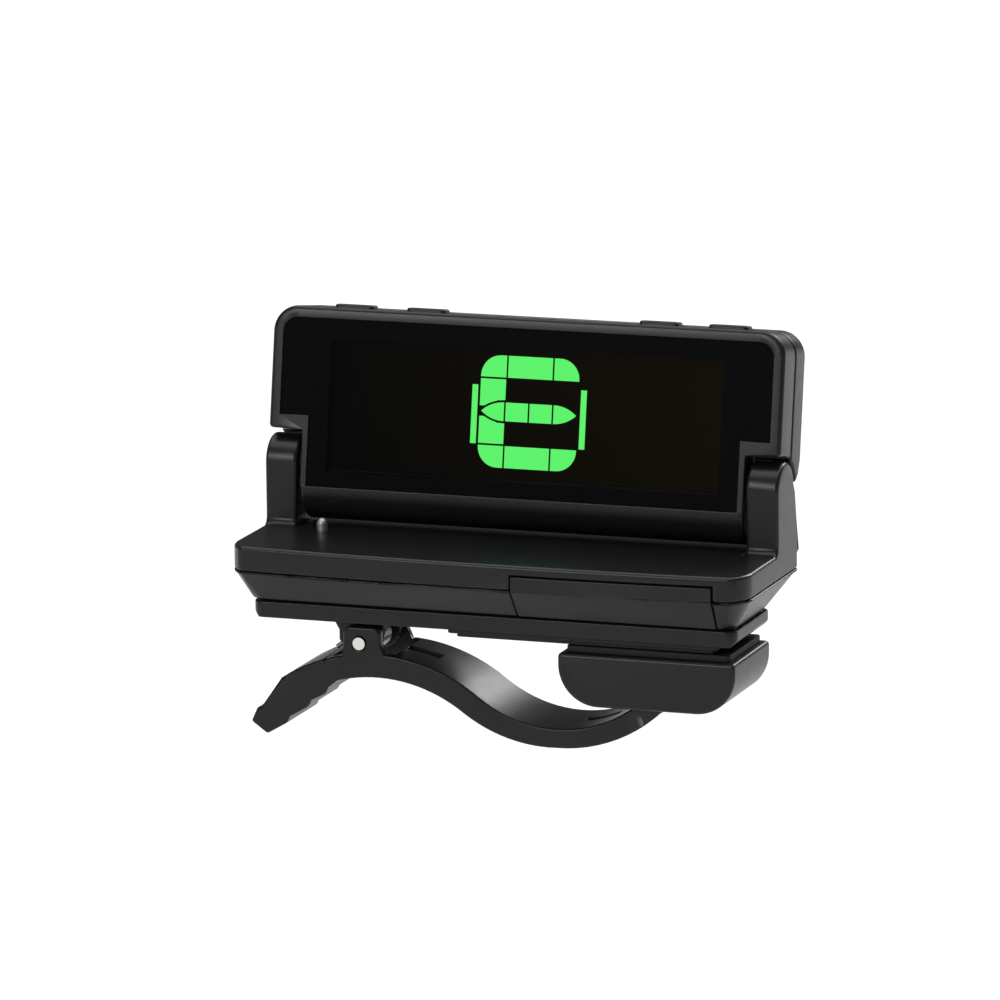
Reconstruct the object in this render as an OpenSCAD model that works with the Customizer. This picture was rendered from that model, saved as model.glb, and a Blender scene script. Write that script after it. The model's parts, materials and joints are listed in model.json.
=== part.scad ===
// Clip-on instrument tuner: a tilting display on a base, over a sprung clip.
// +X is the user's right, +Y the back, +Z up. The origin lies on the clamping face
// of the fixed jaw, on the middle plane of the base.

/* [Base] */
// Width of the base
base_w = 68; // [66:1:72]
// Depth of the base at its ends
base_d = 22.5; // [22:0.1:24]
// Height of the upper shell
top_shell_h = 3.24; // [3:0.02:3.6]
// Height of the lower shell
bottom_shell_h = 3.79; // [3.6:0.01:4.2]
// How far the front of the base bows out in the middle
front_bow = 1.15; // [0.8:0.05:1.4]
// Wall thickness of the mouldings
wall = 1.2; // [1:0.1:1.4]

/* [Display] */
// Width of the display housing
display_w = 67.8; // [66:0.2:68]
// Thickness of the display housing
display_t = 8.8; // [8.4:0.1:9.4]
// Height of the display above its hinge axis
display_top = 19.6; // [19:0.1:22]
// Backward lean of the display at rest
display_lean = 10; // [8:1:12]

/* [Clip] */
// Depth of the jaws
jaw_d = 14.6; // [14:0.1:15]
// Width of the clip arm
arm_w = 11.2; // [10.6:0.1:11.4]
// Thickness of the clip arm
arm_t = 2.7; // [2.4:0.1:3]
// Diameter of the pin that the arm turns on
clip_pin_d = 1.6; // [1.5:0.1:2]

/* [Hidden] */
$fn = 64;
eps = 0.01;
fit = 0.05;

// Heights of the stack, from the fixed jaw's clamping face up
pad_step_h = 0.5;
pad_h = 1.05;
plate_h = 2.07;
plate_gap = 0.25;
base_z = pad_h + plate_h + plate_gap;
seam_z = base_z + bottom_shell_h;
top_z = seam_z + top_shell_h;

// Plan of the base
half_w = base_w / 2;
front_y = -9.15;
back_y = front_y + base_d;
base_corner_r = 4.8;
back_corner_r = 1;
foot_inset_x = 2.1;
foot_y = jaw_d / 2;
foot_corner_r = 2.2;
bow_r = (pow(half_w, 2) + pow(front_bow, 2)) / (2 * front_bow);

// Ears and display hinge
ear_in = 29.8;
ear_out = half_w;
ear_r = 3.4;
ear_front_y = 4.7;
ear_foot_r = 1;
// Back edge of an ear below its round top, as steps from the top's rearmost point
ear_back = [[0, 0.3], [0.65, -1], [1.1, -3.6], [1.75, -8.6]];
pivot_y = ear_front_y + ear_r;
pivot_z = top_z + 7.75;
pin_d = 2;
pin_in = 27.9;
pin_out = 32.8;
washer_d = 4.4;
washer_t = 0.3;

// Small upright peg beside the left ear, set into the top
peg_x = -25.8;
peg_y = 3.2;
peg_d = 1.4;
peg_h = 1.55;
peg_depth = 0.8;

// Coin cell and its tray, which pulls out of the front
cell_d = 20;
cell_h = 2.5;
cell_x = 16.85;
cell_y = 0.9;
door_w = 25.9;
door_top = top_z - 1.4;
cell_z = door_top - cell_h - 0.15;
tray_w = 22.6;
tray_floor = 0.4;
tray_back = 8.6;
door_back = -foot_y + 0.55;

// Floor of the base, and the sensor disc on it
floor_t = 1;
sensor_x = -12;
sensor_d = 12;
sensor_t = 0.25;

// Contacts of the cell
contact_t = 0.2;
positive_w = 5;
negative_w = 4;
negative_l = 9;
negative_rise = 1.2;

// Screws of the base
boss_x = 30.2;
boss_y = 5.3;
boss_d = 3.2;
screw_d = 1.4;
screw_head_d = 2.6;
screw_head_h = 0.8;

// Display housing, in its own frame: x, depth from the axis, height from the axis
display_front = -2.9;
display_back = display_front + display_t;
display_seam = 1.85;
display_half = display_w / 2;
display_corner_r = 3.3;
core_half = 29.35;
chin_r = display_t / 2;
chin_y = display_front + chin_r;
chin_z = -2.85;
wing_bottom = 4;
clear_r = 4;
// Lower edge of a wing behind the ear's round top, as depth and height from the axis
wing_hook = [[4.5, 0.8], [5.4, 1.8], [5.9, 3.6]];
shell = 1.1;

// Window, liquid crystal panel and what lies behind it
window_half = 32.4;
window_bottom = -3.1;
window_top = 18.1;
window_r = 1.9;
window_t = 0.9;
window_dip = 0.15;
notch_half = 28.5;
notch_top = 5.85;
lcd_half = 25.4;
lcd_bottom = -0.15;
lcd_top = 15.2;
lcd_front = -1.9;
lcd_rim = 0.6;
ledge_t = 0.7;
lcd_t = 1.7;
light_t = 1.2;
board_front = 1.3;
board_t = 1;
board_top = 16.6;
board_bottom = -1.2;
board_half = 27;
chip_w = 8;
chip_t = 1;
chip_z = 5;

// Lit reading: the letter, the pointer across it and the bars beside it
letter_x = 0.4;
letter_z = 7.65;
letter_w = 13;
letter_h = 14.1;
letter_r = 2.6;
bar_h = 2.75;
column = 3.05;
seg_gap = 0.24;
pointer_h = 2.36;
tip_l = 3;
side_bar_x = 7.2;
side_bar_w = 0.75;
side_bar_z = -0.45;
side_bar_h = 7.4;

// Top buttons
button_l = 5.2;
button_w = 2.4;
button_x = [-23.6, -14.0, 16.85, 25.95];
button_y = -0.6;
button_proud = 0.45;
button_r = 0.6;
button_lip = 0.7;
button_travel = 0.3;
lip_side = 0.5;
lip_front = -1.4;
lip_back = 3.4;
lip_top = display_top - shell - 0.1;
lip_bottom = lip_top - button_lip;

// Switches on the back of the board, under the buttons' lips
switch_w = 3.6;
switch_back = 4.3;
switch_bottom = 14.6;
switch_body_top = 16.7;
plunger_w = 1.6;
plunger_d = 0.9;
plunger_top = lip_bottom - button_travel - fit;

// Screws of the display: beside the panel, low and high
display_screw_at = [for (x = [-31, 31], z = [6.6, 16.2]) [x, z]];

// Jaw plate and pad
plate_left = -31.4;
plate_right = 32.2;
plate_edge = 0.8;
plate_corner_r = 1.4;
pad_left = -5.7;
pad_right = 29.7;
pad_inset = 0.55;
pad_corner_r = 0.6;
plate_step = 0.6;
plate_screw_x = 26.5;

// Lugs under the plate that hold the clip pin
plate_lug_r = 2.3;
plate_lug_left = 3.2;
plate_lug_right = 2.9;
plate_lug_flare = [[-1.6, 0], [-0.5, -0.8], [0, -1.7]];
plate_lug_toe = 0.6;
plate_lug_t = 1.2;

// Clip arm: an S of two arcs that meet in a common tangent
clip_x = -17.8;
clip_z = -1.9;
hump_x = -15.7;
hump_z = -4.5;
bend_x = 8.1;
bend_z = -12.45;
arm_drop = hump_z - bend_z;
arc_sum = (pow(bend_x - hump_x, 2) + pow(arm_drop, 2)) / (2 * arm_drop);
bend_r = 18.4;
hump_r = arc_sum - bend_r;
lug_t = 1.3;
lug_left = 2.15;
lug_right = 2.8;
rib_t = 1.2;
// Depths below the upper face at the finger end, where the arcs meet, at the bend and at the shoe
rib_depths = [3.1, 3, 2.5, 2.7];
web_depths = [1.9, 1.9, 1.9, 1.9];
slot_w = 1.8;
hump_slot = [78, 4.2];
bend_slot = [-74.6, 5];
finger_a = 123.7;
arm_end_a = -41;

// Finger end of the arm: a wedge that starts on the arm's upper face, with steps below
finger_at = [-28.2, -6.93];
finger_slope = 54.3;
finger_l = 7.3;
finger_root = -5.65;
finger_root_top = 3.12;
finger_root_t = 6.37;
finger_tip_t = 2.6;
finger_lip = 0.4;
finger_steps = [4.44, 0.91, -1.89];
finger_step_h = 0.45;
finger_step_l = 0.9;

// Torsion spring on the clip pin
wire_d = 0.6;
coil_r = 1.5;
coil_turns = 4;
leg_low_at = 128;
leg_low_l = 4.4;
leg_high_at = -143;
leg_high_l = 4.2;

// Shoe on the end of the arm
shoe_left = 9;
shoe_right = 32.1;
shoe_top = -0.95;
shoe_pad_t = 0.85;
shoe_pad_inset = 0.9;
shoe_r = 5.2;
shoe_bottom = -7.65;
shoe_x = 21.4;
shoe_z = -4.3;
shoe_wall = 1.2;
mouth_right = 28.6;
shoe_pin_d = 1.5;

// ---------- helpers ----------

// Extrudes a (y, z) outline along X
module along_x(from, to) {
    translate([from, 0, 0]) rotate([90, 0, 90]) linear_extrude(to - from) children();
}

// Extrudes an (x, z) outline along Y
module along_y(from, to) {
    translate([0, to, 0]) rotate([90, 0, 0]) linear_extrude(to - from) children();
}

// A box given by its opposite corners
module block(a, b) {
    translate(a) cube(b - a);
}

// A rectangle given by its opposite corners, with round corners
module round_rect(a, b, r) {
    for (x = [a.x + r, b.x - r], y = [a.y + r, b.y - r]) translate([x, y]) circle(r);
    translate([a.x + r, a.y]) square([b.x - a.x - 2 * r, b.y - a.y]);
    translate([a.x, a.y + r]) square([b.x - a.x, b.y - a.y - 2 * r]);
}

// Points of an arc about c, with a radius that may change from r to r_end
function arc(c, r, from, to, n = 24, r_end = 0) =
    [for (i = [0:n]) let (a = from + (to - from) * i / n, grow = r_end > 0 ? (r_end - r) * i / n : 0)
        c + (r + grow) * [cos(a), sin(a)]];

// Moves children from the display's own frame to its place
module in_display() {
    translate([0, pivot_y, pivot_z]) rotate([-display_lean, 0, 0]) children();
}

// ---------- base ----------

module base_plan(inset = 0) {
    intersection() {
        union() {
            round_rect([-half_w + inset, front_y - front_bow + inset - eps],
                       [half_w - inset, back_y - base_corner_r], base_corner_r - inset);
            round_rect([-half_w + inset, 0], [half_w - inset, back_y - inset],
                       max(back_corner_r - inset, back_corner_r / 5));
        }
        translate([0, front_y - front_bow + bow_r]) circle(bow_r - inset, $fn = 720);
    }
}

module foot_plan(inset = 0) {
    round_rect([-half_w + foot_inset_x + inset, -foot_y + inset],
               [half_w - foot_inset_x - inset, foot_y - inset], foot_corner_r);
}

// Outer form of the whole base without ears
module base_form() {
    translate([0, 0, seam_z]) linear_extrude(top_shell_h) base_plan();
    hull() {
        translate([0, 0, seam_z - eps]) linear_extrude(eps) base_plan();
        translate([0, 0, base_z]) linear_extrude(eps) foot_plan();
    }
}

module door_zone(gap) {
    block([cell_x - door_w / 2 - gap, front_y - 2 * front_bow, base_z - 1],
          [cell_x + door_w / 2 + gap, door_back + gap, door_top + gap]);
}

// The space that the tray slides in, with the cell's own round end
module cell_space() {
    gap = 0.12;
    block([cell_x - tray_w / 2 - gap, front_y - 1, cell_z - tray_floor - gap],
          [cell_x + tray_w / 2 + gap, tray_back + gap, cell_z + cell_h + gap]);
    translate([cell_x, cell_y, cell_z - gap / 2]) cylinder(d = cell_d + 2 * gap, h = cell_h + gap * 1.5);
}

module ear_outline() {
    translate([pivot_y, pivot_z]) circle(ear_r);
    polygon(concat(
        [[ear_front_y, top_z - wall], [ear_front_y, pivot_z], [pivot_y, pivot_z + ear_r / 2]],
        [for (step = ear_back) [pivot_y + ear_r, pivot_z] + step],
        [[back_y, top_z - wall]]));
}

// Concave sweep where the front of an ear meets the base
module ear_foot_outline() {
    r = ear_foot_r;
    difference() {
        translate([ear_front_y - r, top_z - eps]) square([r + eps, r]);
        translate([ear_front_y - r, top_z + r]) circle(r);
    }
}

module base_bosses() {
    for (x = [-boss_x, boss_x], y = [-boss_y, boss_y]) {
        translate([x, y, seam_z]) cylinder(d = boss_d, h = top_shell_h - eps);
    }
}

module base_top_shell() {
    color("#222326") difference() {
        union() {
            difference() {
                translate([0, 0, seam_z]) linear_extrude(top_shell_h) base_plan();
                translate([0, 0, seam_z - eps]) linear_extrude(top_shell_h - wall) base_plan(wall);
            }
            base_bosses();
            for (side = [-1, 1]) mirror([side < 0 ? 1 : 0, 0, 0]) {
                along_x(ear_in, ear_out) {
                    ear_outline();
                    ear_foot_outline();
                }
            }
        }
        translate([peg_x, peg_y, top_z - peg_depth - eps]) cylinder(d = peg_d + 2 * eps, h = peg_depth + 1);
        door_zone(fit);
        cell_space();
        for (x = [-boss_x, boss_x], y = [-boss_y, boss_y]) {
            translate([x, y, seam_z - eps]) cylinder(d = screw_d + 2 * eps, h = 2.2);
        }
        for (side = [-1, 1]) mirror([side < 0 ? 1 : 0, 0, 0]) {
            translate([ear_in - 1, pivot_y, pivot_z]) rotate([0, 90, 0])
                cylinder(d = pin_d + 2 * eps, h = pin_out - ear_in + 1 + fit);
        }
    }
}

module base_bottom_shell() {
    color("#1d1e20") difference() {
        union() {
            difference() {
                hull() {
                    translate([0, 0, seam_z - eps]) linear_extrude(eps) base_plan();
                    translate([0, 0, base_z]) linear_extrude(eps) foot_plan();
                }
                hull() {
                    translate([0, 0, seam_z + eps]) linear_extrude(eps) base_plan(wall);
                    translate([0, 0, base_z + floor_t]) linear_extrude(eps) foot_plan(wall);
                }
            }
            for (x = [-boss_x, boss_x], y = [-boss_y, boss_y]) {
                translate([x, y, base_z]) cylinder(d = boss_d, h = bottom_shell_h);
            }
        }
        door_zone(fit);
        cell_space();
        for (x = [-boss_x, boss_x], y = [-boss_y, boss_y]) {
            translate([x, y, base_z - eps]) cylinder(d = screw_d + 2 * fit, h = bottom_shell_h + 1);
            translate([x, y, base_z - eps]) cylinder(d = screw_head_d + 2 * fit, h = screw_head_h + 2 * fit);
        }
        for (x = [-1, 1] * plate_screw_x) {
            translate([x, 0, base_z - eps]) cylinder(d = screw_d + 2 * eps, h = 2);
        }
    }
}

// A round-headed screw that points up, its head at the bottom
module screw(length, d = screw_d, head_d = screw_head_d) {
    slot_w = 0.35;
    difference() {
        union() {
            cylinder(d = head_d, h = screw_head_h);
            cylinder(d = d, h = length);
        }
        for (turn = [0, 90]) rotate(turn) {
            translate([-head_d * 0.35, -slot_w / 2, -eps]) cube([head_d * 0.7, slot_w, screw_head_h / 2]);
        }
    }
}

module base_screws() {
    color("silver") for (x = [-boss_x, boss_x], y = [-boss_y, boss_y]) {
        translate([x, y, base_z + fit]) screw(bottom_shell_h + 1.8);
    }
}

module piezo_sensor() {
    color("goldenrod") translate([sensor_x, 0, base_z + floor_t + eps]) {
        cylinder(d = sensor_d, h = sensor_t);
        translate([0, 0, sensor_t]) cylinder(d = sensor_d * 0.75, h = sensor_t);
    }
}

module battery_contact_positive() {
    y = cell_y + cell_d / 2 + 0.15;
    color("silver") block([cell_x - positive_w / 2, y, cell_z + 0.8],
                          [cell_x + positive_w / 2, y + contact_t, cell_z + cell_h - contact_t]);
}

// A strip on the floor with a leaf that rises towards the cell
module battery_contact_negative() {
    t = contact_t;
    floor_z = base_z + floor_t + eps;
    half_w = negative_w / 2;
    color("silver") along_x(cell_x - half_w, cell_x + half_w) translate([-negative_l / 2, floor_z]) {
        square([negative_l, t]);
        polygon([
            [0, 0], [2 * t, 0], [negative_l - 2 * t, negative_rise - t / 2],
            [negative_l - 4 * t, negative_rise], [0, t],
        ]);
    }
}

module hinge_pins() {
    color("silver") for (side = [-1, 1]) mirror([side < 0 ? 1 : 0, 0, 0]) {
        translate([pin_in, pivot_y, pivot_z]) rotate([0, 90, 0]) cylinder(d = pin_d, h = pin_out - pin_in);
    }
}

module hinge_washers() {
    color("black") for (side = [-1, 1]) mirror([side < 0 ? 1 : 0, 0, 0]) {
        translate([ear_in - washer_t - eps, pivot_y, pivot_z]) rotate([0, 90, 0]) difference() {
            cylinder(d = washer_d, h = washer_t);
            translate([0, 0, -eps]) cylinder(d = pin_d + 2 * fit, h = 1);
        }
    }
}

module stop_peg() {
    color("silver") translate([peg_x, peg_y, top_z]) {
        translate([0, 0, -peg_depth]) cylinder(d = peg_d, h = peg_depth + peg_h - peg_d / 2);
        translate([0, 0, peg_h - peg_d / 2]) sphere(d = peg_d, $fn = 32);
    }
}

// ---------- battery tray ----------

module battery_tray() {
    rim = 1.3;
    color("#1d1e20") {
        difference() {
            intersection() {
                base_form();
                door_zone(-fit);
            }
            translate([cell_x, cell_y, cell_z]) cylinder(d = cell_d + 2 * fit, h = cell_h + fit);
        }
        difference() {
            block([cell_x - tray_w / 2, door_back - 0.3, cell_z - tray_floor],
                  [cell_x + tray_w / 2, tray_back, cell_z + cell_h - 0.1]);
            translate([cell_x, cell_y, cell_z]) cylinder(d = cell_d + 2 * fit, h = cell_h + 1);
            translate([cell_x, cell_y, cell_z - 1]) cylinder(d = cell_d - 2 * rim, h = 2);
        }
    }
}

module coin_cell() {
    color("silver") translate([cell_x, cell_y, cell_z + eps]) {
        cylinder(d = cell_d - 2, h = 0.4);
        translate([0, 0, 0.4 - eps]) cylinder(d = cell_d, h = cell_h - 0.4);
    }
}

// ---------- jaw ----------

module plate_end_outline() {
    polygon([
        [plate_left, pad_h + plate_h], [plate_left, pad_h + plate_edge], [plate_left + plate_edge, pad_h],
        [plate_right - plate_edge, pad_h], [plate_right, pad_h + plate_edge], [plate_right, pad_h + plate_h],
    ]);
}

module plate_lug_outline() {
    r = plate_lug_r;
    translate([clip_x, clip_z]) circle(r);
    polygon(concat(
        [for (step = plate_lug_flare) [clip_x - plate_lug_left, pad_h + eps] + step],
        [[clip_x - plate_lug_left, clip_z], [clip_x - r, clip_z - 1], [clip_x + r, clip_z - 1]],
        [[clip_x + r, clip_z], [clip_x + plate_lug_right, pad_h - plate_lug_toe],
         [clip_x + plate_lug_right + plate_lug_toe, pad_h + eps]]));
}

module jaw_plate() {
    lug_out = arm_w / 2 - lug_t - 0.2;
    color("#1d1e20") difference() {
        union() {
            intersection() {
                along_y(-foot_y, foot_y) plate_end_outline();
                translate([0, 0, pad_h - eps]) linear_extrude(plate_h + 1)
                    round_rect([plate_left, -foot_y], [plate_right, foot_y], plate_corner_r);
            }
            translate([0, 0, pad_h + plate_h - eps]) linear_extrude(plate_gap)
                round_rect([plate_left + plate_step, -foot_y + plate_step],
                           [plate_right - plate_step, foot_y - plate_step], plate_corner_r);
            for (side = [-1, 1]) mirror([0, side < 0 ? 1 : 0, 0]) {
                along_y(lug_out - plate_lug_t, lug_out) plate_lug_outline();
            }
        }
        translate([clip_x, 0, clip_z]) rotate([90, 0, 0])
            cylinder(d = clip_pin_d + 2 * eps, h = jaw_d, center = true);
        for (x = [-1, 1] * plate_screw_x) translate([x, 0, pad_h - eps]) {
            cylinder(d = screw_d + 2 * fit, h = plate_h + 1);
            cylinder(d = screw_head_d + 2 * fit, h = screw_head_h + 2 * fit);
        }
    }
}

module plate_screws() {
    color("silver") for (x = [-1, 1] * plate_screw_x) {
        translate([x, 0, pad_h + fit]) screw(plate_h + plate_gap + 0.6);
    }
}

module jaw_pad() {
    color("#141416") {
        translate([0, 0, pad_step_h]) linear_extrude(pad_h - pad_step_h)
            round_rect([pad_left, -foot_y + pad_inset], [pad_right, foot_y - pad_inset], pad_corner_r);
        linear_extrude(pad_step_h + eps)
            round_rect([pad_left + 1, -foot_y + 2 * pad_inset],
                       [pad_right - pad_inset, foot_y - 2 * pad_inset], pad_corner_r);
    }
}

// ---------- clip ----------

module clip_pin() {
    color("silver") translate([clip_x, 0, clip_z]) rotate([90, 0, 0])
        cylinder(d = clip_pin_d, h = arm_w + 0.3, center = true);
}

module wire_at_coil() {
    translate([coil_r, 0]) circle(d = wire_d, $fn = 24);
}

// A coil about the clip pin, of half turns that each climb half a pitch, with one leg
// up to the plate and one down to the finger end of the arm
module torsion_spring() {
    pitch = wire_d + 0.06;
    climb = asin(pitch / 4 / coil_r);
    halves = 2 * coil_turns + 1;
    first = leg_low_at - 180;
    color("silver") translate([clip_x, 0, clip_z]) rotate([90, 0, 0]) translate([0, 0, -halves * pitch / 4]) {
        rotate(leg_high_at) {
            rotate_extrude(angle = first - leg_high_at) wire_at_coil();
            translate([coil_r, 0, 0]) rotate([90, 0, 0]) cylinder(d = wire_d, h = leg_high_l, $fn = 24);
        }
        for (i = [0:halves - 1]) translate([0, 0, (i + 0.5) * pitch / 2]) rotate(first + 180 * i)
            rotate([0, climb, 0]) rotate_extrude(angle = 180) wire_at_coil();
        rotate(leg_low_at) translate([coil_r, 0, halves * pitch / 2])
            rotate([-90, 0, 0]) cylinder(d = wire_d, h = leg_low_l, $fn = 24);
    }
}

function bend_c() = [bend_x, bend_z + bend_r];
function hump_c() = [hump_x, hump_z - hump_r];
// Angle of the line between the arc centres, where the arcs meet
meet = atan2(bend_c().y - hump_c().y, bend_x - hump_x);

// The S strip from the finger end to the shoe, down to given depths below its upper face
module arm_strip(depths) {
    over = hump_r + arm_t / 2;
    under = bend_r - arm_t / 2;
    low = -90;
    polygon(concat(
        arc(hump_c(), over, finger_a, meet),
        arc(bend_c(), under, meet - 180, arm_end_a),
        arc(bend_c(), under + depths[3], arm_end_a, low, 12, under + depths[2]),
        arc(bend_c(), under + depths[2], low, meet - 180, 12, under + depths[1]),
        arc(hump_c(), over - depths[1], meet, finger_a, 24, over - depths[0])));
}

module arm_lug_outline() {
    translate([clip_x, clip_z]) round_rect([-lug_left, -3], [lug_right, 2.1], 1);
    polygon([
        [clip_x - lug_left, clip_z], [clip_x + lug_right, clip_z],
        [clip_x + lug_right + 1.1, hump_z], [clip_x - lug_left - 0.45, hump_z],
    ]);
}

// Depth of the finger end's underside at a distance along it
function finger_under(x) =
    finger_root_t + (finger_tip_t - finger_root_t) * (x - finger_root) / (finger_l - finger_root);

module finger_outline() {
    translate(finger_at) rotate(180 + finger_slope) polygon(concat(
        [[finger_root, finger_root_top], [0, 0], [finger_l - 6 * finger_lip, 0]],
        [[finger_l - 5 * finger_lip, -finger_lip], [finger_l, 0], [finger_l, finger_tip_t]],
        [for (x = finger_steps) each [
            [x, finger_under(x) + finger_step_h], [x - finger_step_l, finger_under(x - finger_step_l)],
        ]],
        [[finger_root, finger_root_t]]));
}

// Sector that cuts a slot through the web, given as its middle angle and its length
module arm_slot(c, r, slot) {
    half = slot[1] / 2 / r * 180 / PI;
    polygon(concat(arc(c, r + arm_t, slot[0] - half, slot[0] + half, 6),
                   arc(c, r - arm_t, slot[0] + half, slot[0] - half, 6)));
}

module clip_arm() {
    half = arm_w / 2;
    color("#222326") difference() {
        union() {
            for (side = [-1, 1]) mirror([0, side < 0 ? 1 : 0, 0]) {
                along_y(half - rib_t, half) arm_strip(rib_depths);
                along_y(half - lug_t, half) arm_lug_outline();
            }
            along_y(-half + eps, half - eps) arm_strip(web_depths);
            along_y(-half, half) translate([shoe_x, shoe_z]) circle(2.1);
            along_y(-half, half) polygon([
                bend_c() + (bend_r + arm_t / 2) * [cos(arm_end_a - 4), sin(arm_end_a - 4)],
                bend_c() + (bend_r - arm_t / 2) * [cos(arm_end_a - 4), sin(arm_end_a - 4)],
                [shoe_x - 2.1, shoe_z], [shoe_x, shoe_z + 0.5], [shoe_x + 2.1, shoe_z],
            ]);
            along_y(-half, half) finger_outline();
        }
        // opening under the clip pin for the spring
        block([clip_x - 4.2, -half + rib_t, hump_z - 1.4], [clip_x + 4.4, half - rib_t, hump_z + 6]);
        // two slots in the web
        along_y(-slot_w / 2, slot_w / 2) {
            arm_slot(hump_c(), hump_r, hump_slot);
            arm_slot(bend_c(), bend_r, bend_slot);
        }
        translate([clip_x, 0, clip_z]) rotate([90, 0, 0])
            cylinder(d = clip_pin_d + 2 * fit, h = arm_w + 1, center = true);
        translate([shoe_x, 0, shoe_z]) rotate([90, 0, 0])
            cylinder(d = shoe_pin_d + 2 * fit, h = arm_w + 1, center = true);
    }
}

module shoe_outline(inset = 0) {
    r = shoe_r - inset;
    l = shoe_left + inset;
    w = shoe_right - shoe_left - 2 * inset;
    b = shoe_bottom + inset;
    translate([l, b + r]) square([w, shoe_top - b - r]);
    intersection() {
        translate([l, b]) square([w, shoe_top - b]);
        union() {
            translate([l + r, b]) square([w - 2 * r, r]);
            for (x = [l + r, l + w - r]) translate([x, b + r]) circle(r);
        }
    }
}

module shoe() {
    inner = foot_y - shoe_wall;
    color("#1d1e20") difference() {
        along_y(-foot_y, foot_y) shoe_outline();
        intersection() {
            along_y(-inner, inner) shoe_outline(shoe_wall);
            block([shoe_left, -inner, shoe_bottom - 1], [shoe_right, inner, shoe_top - shoe_wall]);
        }
        // open mouth below and through the near end, where the arm comes in
        block([shoe_left - 1, -inner, shoe_bottom - 1], [mouth_right, inner, shoe_z]);
        translate([shoe_x, 0, shoe_z]) rotate([90, 0, 0])
            cylinder(d = shoe_pin_d + 2 * eps, h = 2 * inner + 1.4, center = true);
    }
}

module shoe_pad() {
    color("#141416") translate([0, 0, shoe_top]) linear_extrude(shoe_pad_t)
        round_rect([shoe_left + shoe_pad_inset, -foot_y + shoe_pad_inset],
                   [shoe_right - shoe_pad_inset, foot_y - shoe_pad_inset], pad_corner_r);
}

module shoe_pin() {
    color("silver") translate([shoe_x, 0, shoe_z]) rotate([90, 0, 0])
        cylinder(d = shoe_pin_d, h = 2 * (foot_y - shoe_wall) + 1.2, center = true);
}

// ---------- display ----------

// Front view of the housing
module display_face(inset = 0) {
    r = display_corner_r - inset;
    h = display_half - inset;
    t = display_top - inset;
    for (x = [-h + r, h - r]) translate([x, t - r]) circle(r);
    translate([-h + r, 0]) square([2 * (h - r), t]);
    translate([-h, 0]) square([2 * h, t - r]);
    translate([-core_half + inset, chin_z - 2 * chin_r]) square([2 * (core_half - inset), 3 * chin_r]);
}

// Side view between the ears, with a full round lower end
module core_outline(inset = 0) {
    translate([chin_y, chin_z]) circle(chin_r - inset);
    translate([display_front + inset, chin_z]) square([display_t - 2 * inset, display_top - inset - chin_z]);
}

// Side view over an ear: open below, with a hook that follows the ear's round top
module wing_outline(inset = 0) {
    difference() {
        polygon([
            [display_front + inset, wing_bottom + inset], [0, wing_bottom + inset],
            [0, wing_hook[0].y + inset], wing_hook[0] + [-inset, inset], wing_hook[1] + [-inset, inset],
            wing_hook[2] + [-inset, 0], [display_back - inset, display_top - inset],
            [display_front + inset, display_top - inset],
        ]);
        circle(clear_r + inset);
    }
}

module display_form(inset = 0) {
    intersection() {
        union() {
            along_x(-core_half + inset, core_half - inset) core_outline(inset);
            for (side = [-1, 1]) mirror([side < 0 ? 1 : 0, 0, 0]) {
                along_x(core_half - inset - (inset > 0 ? 1 : 0), display_half - inset) wing_outline(inset);
            }
        }
        along_y(display_front - 1, display_back + 1) display_face(inset);
    }
}

module window_outline(gap = 0) {
    difference() {
        round_rect([-window_half - gap, window_bottom - gap], [window_half + gap, window_top + gap], window_r);
        for (x = [-window_half - 1, notch_half + gap]) translate([x, window_bottom - 1]) {
            square([window_half - notch_half + 1 - gap, notch_top - window_bottom + 1 - gap]);
        }
    }
}

module lcd_outline(grow = 0) {
    translate([-lcd_half - grow, lcd_bottom - grow])
        square([2 * (lcd_half + grow), lcd_top - lcd_bottom + 2 * grow]);
}

// The hole that a button comes up through, and the pocket that its lip moves in
module button_hole(i) {
    gap = 2 * fit;
    half = button_l / 2 + gap;
    translate([button_x[i], button_y, lip_top - button_travel - gap]) linear_extrude(2 * shell + 1)
        round_rect([-half, -button_w / 2 - gap], [half, button_w / 2 + gap], button_r);
    block([button_x[i] - half - lip_side, lip_front - gap, lip_bottom - button_travel - gap],
          [button_x[i] + half + lip_side, display_seam + 1, lip_top + gap]);
}

module display_bosses(from, to) {
    for (p = display_screw_at) along_y(from, to) translate(p) circle(d = screw_head_d);
}

module pin_bores() {
    for (x = [-core_half - 1, core_half - 2.4]) {
        translate([x, 0, 0]) rotate([0, 90, 0]) cylinder(d = pin_d + 2 * fit, h = 3.4);
    }
}

module display_front_shell() {
    color("#222326") in_display() difference() {
        union() {
            difference() {
                display_form();
                difference() {
                    display_form(shell);
                    block([-40, display_front - 1, -9], [40, lcd_front + ledge_t, 30]);
                }
            }
            intersection() {
                display_form(shell / 2);
                display_bosses(lcd_front, display_seam);
            }
        }
        block([-40, display_seam, -9], [40, display_back + 1, 30]);
        along_y(display_front - 1, display_front + window_t) window_outline(fit);
        along_y(display_front - 1, lcd_front + 1) lcd_outline(lcd_rim + fit);
        for (i = [0:3]) button_hole(i);
        for (p = display_screw_at) along_y(0, display_seam + 1) translate(p) circle(d = screw_d + 2 * eps);
        pin_bores();
    }
}

module display_rear_shell() {
    color("#1d1e20") in_display() difference() {
        union() {
            difference() {
                display_form();
                display_form(shell);
            }
            intersection() {
                display_form(shell / 2);
                display_bosses(display_seam, display_back);
            }
        }
        block([-40, display_front - 2, -9], [40, display_seam, 30]);
        for (p = display_screw_at) {
            along_y(display_seam - 1, display_back + 1) translate(p) circle(d = screw_d + 2 * fit);
            along_y(display_back - screw_head_h - fit, display_back + 1)
                translate(p) circle(d = screw_head_d + 2 * fit);
        }
        pin_bores();
    }
}

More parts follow.
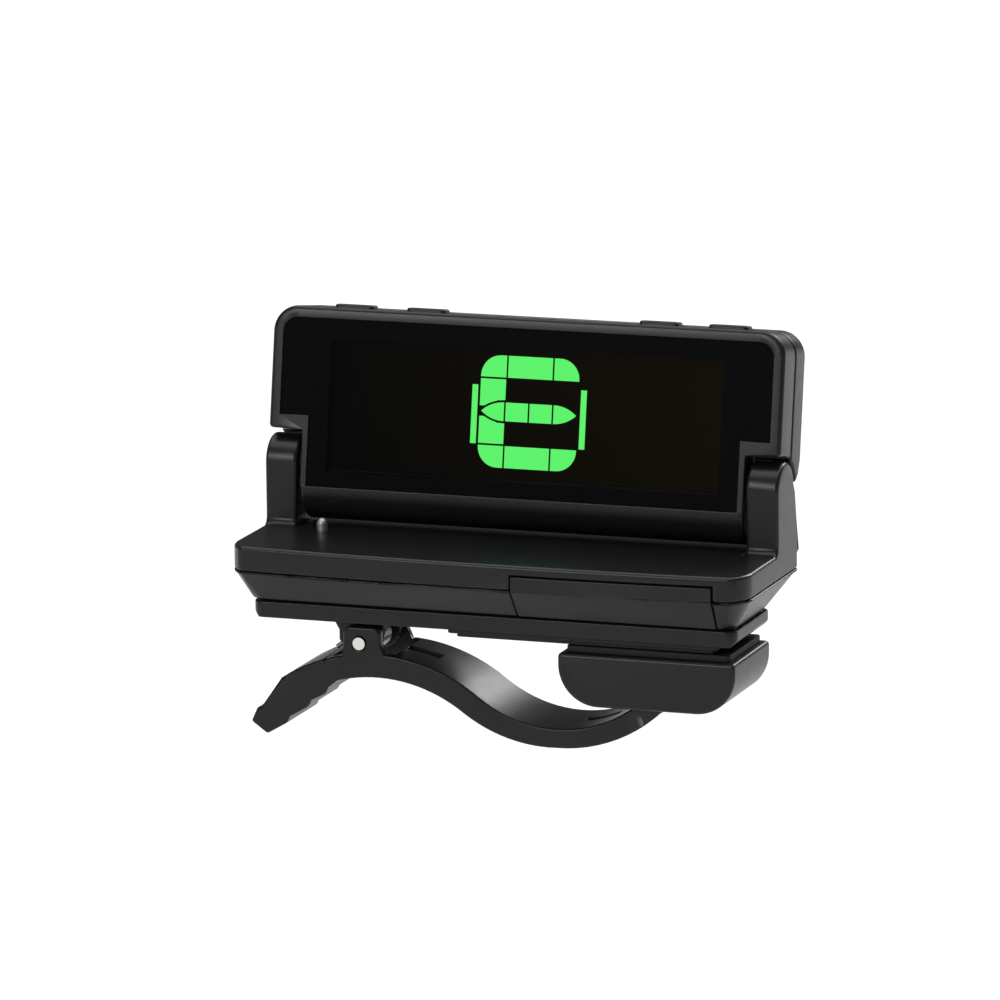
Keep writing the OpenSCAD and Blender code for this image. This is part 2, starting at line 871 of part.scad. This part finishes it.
module display_window() {
    color("#101214") in_display() along_y(display_front + window_dip, display_front + window_t)
        window_outline();
}

module lcd_panel() {
    color("#14150c") in_display() along_y(lcd_front, lcd_front + lcd_t) lcd_outline(lcd_rim);
}

module backlight() {
    from = lcd_front + lcd_t + eps;
    color("white") in_display() along_y(from, from + light_t) lcd_outline();
}

// One segment of the reading, given about the middle of the letter
module segment(a, b) {
    polygon([a, [b.x, a.y], b, [a.x, b.y]]);
}

// A pointer tip: the meeting of two arcs, from its flat end to its point
module pointer_tip() {
    r = (pow(tip_l, 2) + pow(pointer_h / 2, 2)) / pointer_h;
    intersection() {
        translate([0, pointer_h / 2 - r]) circle(r);
        translate([0, r - pointer_h / 2]) circle(r);
        translate([0, -r]) square([r, 2 * r]);
    }
}

// A lit letter E with a pointer across it and a bar on each side
module lcd_segments() {
    w = letter_w / 2;
    h = letter_h / 2;
    g = seg_gap / 2;
    color("#64ff73") in_display() along_y(lcd_front - 0.06, lcd_front - eps) translate([letter_x, letter_z]) {
        for (up = [0, 1]) mirror([0, up]) intersection() {
            round_rect([-w, -h], [w, h], letter_r);
            union() {
                for (x = [[-w, -column - g], [-column + g, column - g], [column + g, w]])
                    segment([x[0], h - bar_h], [x[1], h]);
                difference() {
                    segment([-w, pointer_h * 0.28], [-column - g, h - bar_h - 2 * g]);
                    translate([-column, 0]) mirror([1, 0]) scale([1.25, 1.25]) pointer_tip();
                    segment([-column - 1.2, 0], [0, pointer_h / 2 + 2 * g]);
                }
            }
        }
        for (side = [0, 1]) mirror([side, 0]) {
            translate([column + 2 * g, 0]) pointer_tip();
            segment([g, -pointer_h / 2], [column, pointer_h / 2]);
            translate([side_bar_x, side_bar_z]) square([side_bar_w, side_bar_h], center = true);
        }
    }
}

module main_circuit_board() {
    color("darkgreen") in_display() difference() {
        block([-board_half, board_front, board_bottom], [board_half, board_front + board_t, board_top]);
        for (x = [-1, 1] * (board_half - 1.5), z = [board_bottom + 1.5, board_top - 1.5])
            along_y(board_front - 1, board_front + board_t + 1) translate([x, z]) circle(d = screw_d);
    }
}

module controller_chip() {
    color("black") in_display()
        block([-chip_w / 2, board_front + board_t + eps, chip_z],
              [chip_w / 2, board_front + board_t + chip_t, chip_z + chip_w]);
}

module tact_switches() {
    from = board_front + board_t + eps;
    middle = (from + switch_back) / 2;
    color("silver") in_display() for (x = button_x) {
        block([x - switch_w / 2, from, switch_bottom], [x + switch_w / 2, switch_back, switch_body_top]);
        block([x - plunger_w / 2, middle - plunger_d / 2, switch_body_top - eps],
              [x + plunger_w / 2, middle + plunger_d / 2, plunger_top]);
    }
}

module display_screws() {
    color("silver") in_display() for (p = display_screw_at) {
        translate([p.x, display_back - fit, p.y]) rotate([90, 0, 0]) screw(5.2);
    }
}

module button(i) {
    half = button_l / 2;
    in_display() translate([button_x[i], 0, 0]) {
        translate([0, button_y, lip_top - eps]) linear_extrude(display_top + button_proud - lip_top)
            round_rect([-half, -button_w / 2], [half, button_w / 2], button_r);
        translate([0, 0, lip_bottom]) linear_extrude(button_lip)
            round_rect([-half - lip_side, lip_front], [half + lip_side, lip_back], button_r);
    }
}

module power_button() { color("#1a1b1d") button(0); }
module mode_button() { color("#1a1b1d") button(1); }
module pitch_down_button() { color("#1a1b1d") button(2); }
module pitch_up_button() { color("#1a1b1d") button(3); }

base_top_shell();
base_bottom_shell();
base_screws();
piezo_sensor();
battery_contact_positive();
battery_contact_negative();
hinge_pins();
hinge_washers();
stop_peg();
jaw_plate();
plate_screws();
jaw_pad();
clip_pin();
torsion_spring();
battery_tray();
coin_cell();
display_front_shell();
display_rear_shell();
display_window();
lcd_panel();
lcd_segments();
backlight();
main_circuit_board();
controller_chip();
tact_switches();
display_screws();
power_button();
mode_button();
pitch_down_button();
pitch_up_button();
clip_arm();
shoe();
shoe_pad();
shoe_pin();
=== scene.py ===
"""The clip-on tuner: moulded black plastic round a lit display, over a sprung clip."""
import json
import math

import bmesh
import bpy
from mathutils import Matrix, Vector


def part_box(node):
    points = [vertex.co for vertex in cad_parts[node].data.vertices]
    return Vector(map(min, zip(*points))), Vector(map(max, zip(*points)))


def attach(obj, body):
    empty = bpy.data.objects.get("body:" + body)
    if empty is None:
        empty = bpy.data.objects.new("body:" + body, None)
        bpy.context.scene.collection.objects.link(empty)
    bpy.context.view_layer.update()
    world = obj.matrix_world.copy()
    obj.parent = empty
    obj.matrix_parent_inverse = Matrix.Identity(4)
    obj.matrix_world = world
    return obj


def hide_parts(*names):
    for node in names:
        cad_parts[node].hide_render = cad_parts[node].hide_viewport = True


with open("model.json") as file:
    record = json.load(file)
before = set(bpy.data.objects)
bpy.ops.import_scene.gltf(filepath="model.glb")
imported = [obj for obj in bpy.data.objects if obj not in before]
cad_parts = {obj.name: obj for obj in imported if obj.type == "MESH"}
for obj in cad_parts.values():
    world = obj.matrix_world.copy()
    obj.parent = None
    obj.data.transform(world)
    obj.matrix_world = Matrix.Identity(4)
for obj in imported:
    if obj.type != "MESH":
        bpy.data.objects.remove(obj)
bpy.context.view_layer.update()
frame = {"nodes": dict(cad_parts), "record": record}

MM = 0.001
LEAN = math.radians(10)         # the display's lean behind upright, at rest
FINE_WIDTH = 0.1 * MM           # rounding of the edges round the window and the arm's slots
FINGER_X = -19.5 * MM           # the arm's finger end lies left of this
SHOE_END_X = 19 * MM            # the arm's other end, right of this, is inside the shoe
SLOT_HALF = 4.5 * MM            # the arm's slots lie this close to its middle
FLOOR_Z = -29 * MM              # low enough for the open clip
HINGE_Y = 8.1 * MM              # the hinge's axis
HINGE_Z = 18.15 * MM
POCKET_HALF = 32.6 * MM         # half the width of the window's pocket
POCKET_Z = (-3.3 * MM, 18.3 * MM)   # its lower and upper ends, above the hinge
POCKET_FRONT = -1 * MM          # it lies in front of this, measured from the hinge
# nodes whose flat faces are joined first, and whose inner edges are rounded too
MERGED = ("base_bottom_shell", "battery_tray", "jaw_plate")

BLACK = (0.0055, 0.0055, 0.0058)
BLACK_LIGHT = (0.0085, 0.0085, 0.009)


# ---------- materials ----------

def socket(node, name, value):
    """Set the unlinked value of one input."""
    node.inputs[name].default_value = value


def surface(m):
    """The shader node of a material."""
    return m.node_tree.nodes["Principled BSDF"]


def plastic(name, dark, light, rough, grain=5200, bump=0.12, spread=0.05, wear=0.5, level=0.25):
    """Moulded plastic: slow colour drift, fine grain in the bump, duller patches and paler worn edges."""
    m = bpy.data.materials.new(name)
    m.use_nodes = True
    nt = m.node_tree
    link = nt.links.new
    shader = surface(m)
    coord = nt.nodes.new("ShaderNodeTexCoord")

    drift = nt.nodes.new("ShaderNodeTexNoise")
    socket(drift, "Scale", 140)
    socket(drift, "Detail", 3)
    link(coord.outputs["Object"], drift.inputs["Vector"])
    tone = nt.nodes.new("ShaderNodeMix")
    tone.data_type = "RGBA"
    tone.inputs[6].default_value = (*dark, 1)
    tone.inputs[7].default_value = (*light, 1)
    link(drift.outputs["Fac"], tone.inputs[0])

    edges = nt.nodes.new("ShaderNodeNewGeometry")
    ramp = nt.nodes.new("ShaderNodeValToRGB")
    ramp.color_ramp.elements[0].position = 0.52
    ramp.color_ramp.elements[1].position = 0.62
    link(edges.outputs["Pointiness"], ramp.inputs["Fac"])
    patch = nt.nodes.new("ShaderNodeTexNoise")
    socket(patch, "Scale", 700)
    socket(patch, "Detail", 4)
    link(coord.outputs["Object"], patch.inputs["Vector"])
    worn = nt.nodes.new("ShaderNodeMath")
    worn.operation = "MULTIPLY"
    link(ramp.outputs["Color"], worn.inputs[0])
    link(patch.outputs["Fac"], worn.inputs[1])
    amount = nt.nodes.new("ShaderNodeMath")
    amount.operation = "MULTIPLY"
    amount.inputs[1].default_value = wear
    link(worn.outputs[0], amount.inputs[0])
    rubbed = nt.nodes.new("ShaderNodeMix")
    rubbed.data_type = "RGBA"
    rubbed.inputs[7].default_value = (*[min(1, c * 2.5 + 0.01) for c in light], 1)
    link(amount.outputs[0], rubbed.inputs[0])
    link(tone.outputs[2], rubbed.inputs[6])
    link(rubbed.outputs[2], shader.inputs["Base Color"])

    gloss = nt.nodes.new("ShaderNodeMapRange")
    gloss.inputs["To Min"].default_value = rough - spread
    gloss.inputs["To Max"].default_value = rough + spread
    link(patch.outputs["Fac"], gloss.inputs["Value"])
    link(gloss.outputs["Result"], shader.inputs["Roughness"])

    fine = nt.nodes.new("ShaderNodeTexNoise")
    socket(fine, "Scale", grain)
    socket(fine, "Detail", 2)
    link(coord.outputs["Object"], fine.inputs["Vector"])
    relief = nt.nodes.new("ShaderNodeBump")
    socket(relief, "Strength", bump)
    socket(relief, "Distance", 0.00003)
    link(fine.outputs["Fac"], relief.inputs["Height"])
    link(relief.outputs["Normal"], shader.inputs["Normal"])
    socket(shader, "Specular IOR Level", level)
    return m


def metal(name, colour, rough):
    """Bright metal with fine scuffs."""
    dark = [c * 0.88 for c in colour]
    m = plastic(name, dark, colour, rough, grain=2400, bump=0.06, spread=0.07, wear=0.2)
    socket(surface(m), "Metallic", 1.0)
    return m


def lit(m, colour, strength):
    """A material that glows evenly."""
    socket(surface(m), "Emission Color", (*colour, 1))
    socket(surface(m), "Emission Strength", strength)
    return m


def between(nt, value, low, high):
    """A node that gives 1 while a value lies between two limits."""
    inside = nt.nodes.new("ShaderNodeMath")
    inside.operation = "COMPARE"
    nt.links.new(value, inside.inputs[0])
    inside.inputs[1].default_value = (low + high) / 2
    inside.inputs[2].default_value = (high - low) / 2
    return inside.outputs[0]


def clear(m, alpha):
    """A window that is clear in front of the panel and printed black around it."""
    nt = m.node_tree
    low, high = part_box("lcd_panel")
    coord = nt.nodes.new("ShaderNodeTexCoord")
    split = nt.nodes.new("ShaderNodeSeparateXYZ")
    nt.links.new(coord.outputs["Object"], split.inputs[0])
    in_front = nt.nodes.new("ShaderNodeMath")
    in_front.operation = "MULTIPLY"
    nt.links.new(between(nt, split.outputs["X"], low.x, high.x), in_front.inputs[0])
    nt.links.new(between(nt, split.outputs["Z"], low.z, high.z), in_front.inputs[1])
    fade = nt.nodes.new("ShaderNodeMapRange")
    fade.inputs["To Min"].default_value = 1
    fade.inputs["To Max"].default_value = alpha
    nt.links.new(in_front.outputs[0], fade.inputs["Value"])
    nt.links.new(fade.outputs["Result"], surface(m).inputs["Alpha"])
    return m


def glowing(m, colour, left, right):
    """A faint backlight that leaks more towards one end of the panel."""
    nt = m.node_tree
    low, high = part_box("lcd_panel")
    coord = nt.nodes.new("ShaderNodeTexCoord")
    split = nt.nodes.new("ShaderNodeSeparateXYZ")
    nt.links.new(coord.outputs["Object"], split.inputs[0])
    ramp = nt.nodes.new("ShaderNodeMapRange")
    ramp.inputs["From Min"].default_value = low.x
    ramp.inputs["From Max"].default_value = high.x
    ramp.inputs["To Min"].default_value = left
    ramp.inputs["To Max"].default_value = right
    nt.links.new(split.outputs["X"], ramp.inputs["Value"])
    nt.links.new(ramp.outputs["Result"], surface(m).inputs["Emission Strength"])
    socket(surface(m), "Emission Color", (*colour, 1))
    return m


def window():
    """The smoky window, smooth and hardly reflecting."""
    m = plastic("window_plastic", (0.0022, 0.0024, 0.0027), (0.003, 0.0032, 0.0036), 0.08,
                grain=900, bump=0.0, spread=0.004, wear=0.0, level=0.16)
    return clear(m, 0.55)


def panel():
    """The display's dark panel, a little brown at its right end."""
    m = plastic("lcd_glass", (0.0076, 0.0062, 0.0009), (0.0086, 0.007, 0.001), 0.4,
                grain=2600, bump=0.0, spread=0.01, wear=0.0, level=0.05)
    return glowing(m, (1.0, 0.62, 0.0), 0.0004, 0.019)


def segments():
    """The lit green segments."""
    m = plastic("lcd_green", (0.05, 0.4, 0.07), (0.06, 0.46, 0.08), 0.5, wear=0.0)
    return lit(m, (0.125, 1.0, 0.17), 4.3)


MATERIALS = {
    "black_plastic": plastic("black_plastic", BLACK, BLACK_LIGHT, 0.32),
    "satin_black_plastic": plastic("satin_black_plastic", BLACK, BLACK_LIGHT, 0.33),
    "button_plastic": plastic("button_plastic", (0.005, 0.005, 0.0052), (0.008, 0.008, 0.0084), 0.38),
    "black_rubber": plastic("black_rubber", (0.006, 0.006, 0.006), (0.010, 0.010, 0.010), 0.62,
                            grain=3000, bump=0.3),
    "screw_steel": metal("screw_steel", (0.42, 0.42, 0.43), 0.32),
    "bright_steel": metal("bright_steel", (0.66, 0.65, 0.61), 0.3),
    # pale bluish metal for the peg: the paleness and blue tint are a painted highlight, standing in for the
    # soft box's reflection on a glossy post
    "peg_metal": metal("peg_metal", (0.38, 0.42, 0.46), 0.5),
    "spring_steel": metal("spring_steel", (0.34, 0.33, 0.31), 0.34),
    "black_nylon": plastic("black_nylon", (0.006, 0.006, 0.006), (0.009, 0.009, 0.009), 0.45),
    "sensor_brass": metal("sensor_brass", (0.62, 0.46, 0.2), 0.35),
    "contact_metal": metal("contact_metal", (0.66, 0.62, 0.55), 0.3),
    "cell_steel": metal("cell_steel", (0.62, 0.62, 0.62), 0.26),
    "window_plastic": window(),
    "lcd_glass": panel(),
    "lcd_green": segments(),
    "diffuser_plastic": plastic("diffuser_plastic", (0.6, 0.6, 0.58), (0.72, 0.72, 0.7), 0.5),
    "board_green": plastic("board_green", (0.008, 0.05, 0.02), (0.012, 0.075, 0.03), 0.4),
    "chip_black": plastic("chip_black", (0.01, 0.01, 0.01), (0.016, 0.016, 0.016), 0.5),
}


# ---------- meshes ----------

def at_window(p):
    """Edges of the window's pocket, in the display's own leaning frame."""
    y, z = p.y - HINGE_Y, p.z - HINGE_Z
    depth = y * math.cos(LEAN) - z * math.sin(LEAN)
    height = y * math.sin(LEAN) + z * math.cos(LEAN)
    return abs(p.x) < POCKET_HALF and POCKET_Z[0] < height < POCKET_Z[1] and depth < POCKET_FRONT


def at_slot(p):
    """Edges of the arm's slots, of the opening for the spring and of the end inside the shoe."""
    return abs(p.y) < SLOT_HALF or p.x > SHOE_END_X


FINE_EDGES = {"display_front_shell": at_window, "clip_arm": at_slot}

# the width of each node's rounding, in millimetres
ROUNDED = {
    "base_top_shell": 0.45, "base_bottom_shell": 0.25, "jaw_plate": 0.15, "jaw_pad": 0.12,
    "clip_arm": 0.3, "shoe": 0.5, "shoe_pad": 0.12, "battery_tray": 0.12,
    "display_front_shell": 0.5, "display_rear_shell": 0.4,
    "power_button": 0.3, "mode_button": 0.3, "pitch_down_button": 0.3, "pitch_up_button": 0.3,
}


def bevel(bm, edges, width):
    """Round some edges in three steps."""
    bmesh.ops.bevel(bm, geom=edges, offset=width, offset_type="OFFSET", segments=3,
                    profile=0.5, affect="EDGES", clamp_overlap=False, loop_slide=False)


def clean(bm, node):
    """Join what the CAD export split: doubled points, facets of flat faces and the arm's seams."""
    bmesh.ops.remove_doubles(bm, verts=bm.verts, dist=2e-7)
    if node in MERGED:
        bmesh.ops.dissolve_limit(bm, angle_limit=math.radians(0.6), verts=bm.verts, edges=bm.edges)
    if node == "clip_arm":
        seams = [e for e in bm.edges if all(v.co.x < FINGER_X for v in e.verts)
                 and all(abs(f.normal.y) > 0.999 for f in e.link_faces)]
        bmesh.ops.dissolve_edges(bm, edges=seams, use_verts=False)


def rounded(node):
    """A copy of a CAD node with its sharp outer edges rounded, the fine ones first."""
    low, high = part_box(node)
    fine = FINE_EDGES.get(node)
    bm = bmesh.new()
    bm.from_mesh(frame["nodes"][node].data)
    clean(bm, node)
    for small in (True, False):
        edges = [e for e in bm.edges if len(e.link_faces) == 2 and (e.is_convex or node in MERGED)
                 and abs(e.calc_face_angle_signed(0)) > math.radians(32)
                 and bool(fine and all(fine(v.co) for v in e.verts)) == small]
        if edges:
            bevel(bm, edges, FINE_WIDTH if small else ROUNDED[node] * MM)
    for v in bm.verts:
        v.co = [min(max(c, a), b) for c, a, b in zip(v.co, low, high)]
    bmesh.ops.triangulate(bm, faces=[f for f in bm.faces if len(f.verts) > 4])
    for f in bm.faces:
        f.smooth = True
    mesh = bpy.data.meshes.new(node + "_moulded")
    bm.to_mesh(mesh)
    bm.free()
    obj = bpy.data.objects.new(node + "_moulded", mesh)
    bpy.context.scene.collection.objects.link(obj)
    obj.modifiers.new("shade", "WEIGHTED_NORMAL").keep_sharp = True
    return obj


# ---------- stage, light, camera ----------

def area(name, at, size, power):
    """A white rectangular light, in metres and watts, that faces the middle of the part."""
    light = bpy.data.lights.new(name, "AREA")
    light.shape = "RECTANGLE"
    light.size, light.size_y = size
    light.energy = power
    obj = bpy.data.objects.new(name, light)
    obj.location = at
    aim = Vector((0, 0, 15 * MM))
    obj.rotation_euler = (aim - Vector(at)).to_track_quat("-Z", "Y").to_euler()
    bpy.context.scene.collection.objects.link(obj)


def make_floor():
    """A wide pale floor that glows, so that it stays white and takes almost no shadow."""
    half = 4.0
    corners = [(-half, -half, FLOOR_Z), (half, -half, FLOOR_Z), (half, half, FLOOR_Z), (-half, half, FLOOR_Z)]
    mesh = bpy.data.meshes.new("floor")
    mesh.from_pydata(corners, [], [(0, 1, 2, 3)])
    floor = bpy.data.objects.new("floor", mesh)
    bpy.context.scene.collection.objects.link(floor)
    m = bpy.data.materials.new("floor_paper")
    m.use_nodes = True
    socket(surface(m), "Base Color", (0.1, 0.1, 0.1, 1))
    socket(surface(m), "Roughness", 0.9)
    socket(surface(m), "Specular IOR Level", 0.1)
    mesh.materials.append(lit(m, (1, 1, 1), 0.95))


def make_lights():
    """A dim white surround, a large soft light above, and one soft box in front and one behind."""
    world = bpy.data.worlds.new("studio")
    world.use_nodes = True
    sky = world.node_tree.nodes["Background"]
    socket(sky, "Color", (1, 1, 1, 1))
    socket(sky, "Strength", 0.1)
    bpy.context.scene.world = world
    area("overhead", (0.0, 0.1, 1.2), (1.6, 1.6), 22)
    area("front_box", (-0.28, -0.8, 0.34), (0.36, 0.18), 2.9)
    area("back_box", (0.28, 0.95, 0.6), (0.46, 0.5), 7)
    bpy.context.scene.view_settings.view_transform = "Standard"
    bpy.context.scene.view_settings.look = "None"


def make_camera():
    """A long lens at the photograph's viewing angle: 19.5 degrees to the right, 12 above."""
    azimuth, elevation, roll = math.radians(19.5), math.radians(11.92), math.radians(-0.617)
    distance = 1.0833
    aim = Vector((-0.7816, -0.1857, 16.4057)) * MM
    forward = Vector((-math.sin(azimuth) * math.cos(elevation),
                      math.cos(azimuth) * math.cos(elevation),
                      -math.sin(elevation)))
    level_right = forward.cross(Vector((0, 0, 1))).normalized()
    level_up = level_right.cross(forward)
    right = level_right * math.cos(roll) + level_up * math.sin(roll)
    up = level_up * math.cos(roll) - level_right * math.sin(roll)
    data = bpy.data.cameras.new("camera")
    data.sensor_width = 36
    data.lens = 312.75
    data.clip_start, data.clip_end = 0.05, 20
    obj = bpy.data.objects.new("camera", data)
    turn = Matrix((right, up, -forward)).transposed()
    obj.matrix_world = Matrix.Translation(aim - forward * distance) @ turn.to_4x4()
    bpy.context.scene.collection.objects.link(obj)
    bpy.context.scene.camera = obj


# ---------- build ----------

make_camera()
make_floor()
make_lights()

body_of = {n: b for b, nodes in frame["record"]["behaviour"]["bodies"].items() for n in nodes}
for node, obj in frame["nodes"].items():
    slot = obj.data.materials[0].name.split(".")[0]
    if node in ROUNDED:
        piece = rounded(node)
        piece.data.materials.append(MATERIALS[slot])
        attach(piece, body_of[node])
        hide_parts(node)
    else:
        obj.data.materials[0] = MATERIALS[slot]
